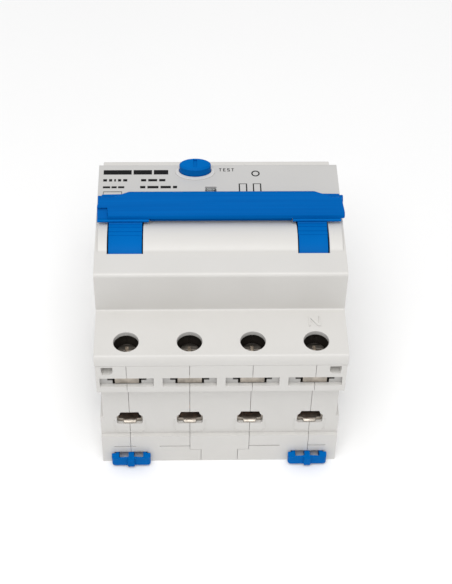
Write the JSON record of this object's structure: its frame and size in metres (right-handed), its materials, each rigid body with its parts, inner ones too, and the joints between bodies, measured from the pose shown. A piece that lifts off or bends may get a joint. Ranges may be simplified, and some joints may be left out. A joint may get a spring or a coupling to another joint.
{
  "type": "residual current device",
  "caption": "Rail-mounted modular residual current device with a full-width toggle bar, oval test button, trip window, lift terminals at both ends and sliding rail clips.",
  "frame": {"origin": "middle of the back plane, on the centreline of the mounting rail", "axes": "+Z out of the front, +Y towards the line end away from the rail clips, +X to the right seen from the front"},
  "size_m": [0.0702, 0.0804, 0.0733],
  "materials": {
    "housing_plastic": "fine satin moulding",
    "blue_plastic": "smooth satin blue",
    "nickel_plate": "dull nickel plate",
    "steel": "plain steel",
    "spring_steel": "drawn wire",
    "copper": "bare copper",
    "bimetal": "rolled strip",
    "black_plastic": "moulded",
    "cream_plastic": "moulded",
    "clear_lens": "clear moulded window",
    "flag_finish": "moulded",
    "core_coating": "dipped coating",
    "lead_insulation": "extruded insulation",
    "board": "varnished laminate",
    "resistor_ceramic": "lacquered body"
  },
  "bodies": {
    "housing": {"front_cover": "housing_plastic", "left_end_shell": "housing_plastic", "inner_shell_left": "housing_plastic", "inner_shell_middle": "housing_plastic", "inner_shell_right": "housing_plastic", "right_end_shell": "housing_plastic", "housing_rivets": "nickel_plate", "test_button_spring": "spring_steel", "test_contact": "copper", "test_resistor": "resistor_ceramic", "indicator_lens": "clear_lens", "busbar_clamp_plates": "nickel_plate", "line_conductors": "copper", "load_conductors": "copper", "arc_chutes": "steel", "trip_coils": "copper", "coil_yokes": "steel", "bimetals": "bimetal", "contact_braids": "copper", "toroid_core": "core_coating", "toroid_winding": "copper", "primary_leads": "lead_insulation", "trip_relay": "black_plastic", "circuit_board": "board"},
    "handle": {"handle_bar": "blue_plastic", "toggle_left": "blue_plastic", "toggle_right": "blue_plastic", "handle_axle": "steel", "handle_spring": "spring_steel"},
    "test_button": {"test_button": "blue_plastic"},
    "contacts": {"contact_shaft": "black_plastic", "moving_contact_1": "copper", "moving_contact_2": "copper", "moving_contact_3": "copper", "moving_contact_n": "copper"},
    "trip_bar": {"trip_bar": "cream_plastic"},
    "trip_flag": {"trip_flag": "flag_finish"},
    "coil_plunger_1": {"coil_plunger_1": "steel"},
    "coil_plunger_2": {"coil_plunger_2": "steel"},
    "coil_plunger_3": {"coil_plunger_3": "steel"},
    "din_clip_left": {"din_clip_left": "blue_plastic"},
    "din_clip_right": {"din_clip_right": "blue_plastic"},
    "load_screw_1": {"load_screw_1": "nickel_plate"},
    "load_cage_1": {"load_cage_1": "nickel_plate"},
    "load_screw_2": {"load_screw_2": "nickel_plate"},
    "load_cage_2": {"load_cage_2": "nickel_plate"},
    "load_screw_3": {"load_screw_3": "nickel_plate"},
    "load_cage_3": {"load_cage_3": "nickel_plate"},
    "load_screw_n": {"load_screw_n": "nickel_plate"},
    "load_cage_n": {"load_cage_n": "nickel_plate"},
    "line_screw_1": {"line_screw_1": "nickel_plate"},
    "line_cage_1": {"line_cage_1": "nickel_plate"},
    "line_screw_2": {"line_screw_2": "nickel_plate"},
    "line_cage_2": {"line_cage_2": "nickel_plate"},
    "line_screw_3": {"line_screw_3": "nickel_plate"},
    "line_cage_3": {"line_cage_3": "nickel_plate"},
    "line_screw_n": {"line_screw_n": "nickel_plate"},
    "line_cage_n": {"line_cage_n": "nickel_plate"}
  },
  "joints": [
    {"name": "handle_swing", "type": "hinge", "parent": "housing", "child": "handle", "pos_m": [0, -0.008, 0.0575], "axis": [1, 0, 0], "range_deg": [0, 56]},
    {"name": "contacts_swing", "type": "hinge", "parent": "housing", "child": "contacts", "pos_m": [0, -0.002, 0.033], "axis": [1, 0, 0], "range_deg": [0, 22.5]},
    {"name": "test_press", "type": "slide", "parent": "housing", "child": "test_button", "axis": [0, 0, -1], "range_m": [0, 0.0018], "stiffness_N_per_m": 600, "deforming": ["test_button_spring"]},
    {"name": "trip_bar_swing", "type": "hinge", "parent": "housing", "child": "trip_bar", "pos_m": [0, -0.001, 0.0435], "axis": [-1, 0, 0], "range_deg": [0, 12], "stiffness_Nm_per_rad": 0.02},
    {"name": "trip_flag_slide", "type": "slide", "parent": "housing", "child": "trip_flag", "axis": [0, -1, 0], "range_m": [0, 0.003]},
    {"name": "coil_plunger_1_slide", "type": "slide", "parent": "housing", "child": "coil_plunger_1", "axis": [0, -1, 0], "range_m": [0, 0.00115]},
    {"name": "coil_plunger_2_slide", "type": "slide", "parent": "housing", "child": "coil_plunger_2", "axis": [0, -1, 0], "range_m": [0, 0.00115]},
    {"name": "coil_plunger_3_slide", "type": "slide", "parent": "housing", "child": "coil_plunger_3", "axis": [0, -1, 0], "range_m": [0, 0.00115]},
    {"name": "din_clip_left_slide", "type": "slide", "parent": "housing", "child": "din_clip_left", "axis": [0, -1, 0], "range_m": [0, 0.0035], "stiffness_N_per_m": 1500},
    {"name": "din_clip_right_slide", "type": "slide", "parent": "housing", "child": "din_clip_right", "axis": [0, -1, 0], "range_m": [0, 0.0035], "stiffness_N_per_m": 1500},
    {"name": "load_screw_1_turn", "type": "hinge", "parent": "housing", "child": "load_screw_1", "pos_m": [-0.02625, -0.0327, 0.044], "axis": [0, 0, -1], "range_deg": [0, 1800]},
    {"name": "load_cage_1_lift", "type": "slide", "parent": "housing", "child": "load_cage_1", "axis": [0, 0, 1], "range_m": [0, 0.004]},
    {"name": "load_screw_2_turn", "type": "hinge", "parent": "housing", "child": "load_screw_2", "pos_m": [-0.00875, -0.0327, 0.044], "axis": [0, 0, -1], "range_deg": [0, 1800]},
    {"name": "load_cage_2_lift", "type": "slide", "parent": "housing", "child": "load_cage_2", "axis": [0, 0, 1], "range_m": [0, 0.004]},
    {"name": "load_screw_3_turn", "type": "hinge", "parent": "housing", "child": "load_screw_3", "pos_m": [0.00875, -0.0327, 0.044], "axis": [0, 0, -1], "range_deg": [0, 1800]},
    {"name": "load_cage_3_lift", "type": "slide", "parent": "housing", "child": "load_cage_3", "axis": [0, 0, 1], "range_m": [0, 0.004]},
    {"name": "load_screw_n_turn", "type": "hinge", "parent": "housing", "child": "load_screw_n", "pos_m": [0.02625, -0.0327, 0.044], "axis": [0, 0, -1], "range_deg": [0, 1800]},
    {"name": "load_cage_n_lift", "type": "slide", "parent": "housing", "child": "load_cage_n", "axis": [0, 0, 1], "range_m": [0, 0.004]},
    {"name": "line_screw_1_turn", "type": "hinge", "parent": "housing", "child": "line_screw_1", "pos_m": [-0.02625, 0.0327, 0.044], "axis": [0, 0, -1], "range_deg": [0, 1800]},
    {"name": "line_cage_1_lift", "type": "slide", "parent": "housing", "child": "line_cage_1", "axis": [0, 0, 1], "range_m": [0, 0.004]},
    {"name": "line_screw_2_turn", "type": "hinge", "parent": "housing", "child": "line_screw_2", "pos_m": [-0.00875, 0.0327, 0.044], "axis": [0, 0, -1], "range_deg": [0, 1800]},
    {"name": "line_cage_2_lift", "type": "slide", "parent": "housing", "child": "line_cage_2", "axis": [0, 0, 1], "range_m": [0, 0.004]},
    {"name": "line_screw_3_turn", "type": "hinge", "parent": "housing", "child": "line_screw_3", "pos_m": [0.00875, 0.0327, 0.044], "axis": [0, 0, -1], "range_deg": [0, 1800]},
    {"name": "line_cage_3_lift", "type": "slide", "parent": "housing", "child": "line_cage_3", "axis": [0, 0, 1], "range_m": [0, 0.004]},
    {"name": "line_screw_n_turn", "type": "hinge", "parent": "housing", "child": "line_screw_n", "pos_m": [0.02625, 0.0327, 0.044], "axis": [0, 0, -1], "range_deg": [0, 1800]},
    {"name": "line_cage_n_lift", "type": "slide", "parent": "housing", "child": "line_cage_n", "axis": [0, 0, 1], "range_m": [0, 0.004]}
  ],
  "couplings": [
    {"joint": "contacts_swing", "follows": "handle_swing", "ratio": 0.4},
    {"joint": "trip_flag_slide", "follows": "coil_plunger_1_slide", "ratio": 2.6},
    {"joint": "trip_bar_swing", "follows": "coil_plunger_1_slide", "rad_per_m": 181.8},
    {"joint": "coil_plunger_2_slide", "follows": "coil_plunger_1_slide", "ratio": 1},
    {"joint": "coil_plunger_3_slide", "follows": "coil_plunger_1_slide", "ratio": 1},
    {"joint": "load_screw_1_turn", "follows": "load_cage_1_lift", "rad_per_m": 7850},
    {"joint": "load_screw_2_turn", "follows": "load_cage_2_lift", "rad_per_m": 7850},
    {"joint": "load_screw_3_turn", "follows": "load_cage_3_lift", "rad_per_m": 7850},
    {"joint": "load_screw_n_turn", "follows": "load_cage_n_lift", "rad_per_m": 7850},
    {"joint": "line_screw_1_turn", "follows": "line_cage_1_lift", "rad_per_m": 7850},
    {"joint": "line_screw_2_turn", "follows": "line_cage_2_lift", "rad_per_m": 7850},
    {"joint": "line_screw_3_turn", "follows": "line_cage_3_lift", "rad_per_m": 7850},
    {"joint": "line_screw_n_turn", "follows": "line_cage_n_lift", "rad_per_m": 7850}
  ]
}
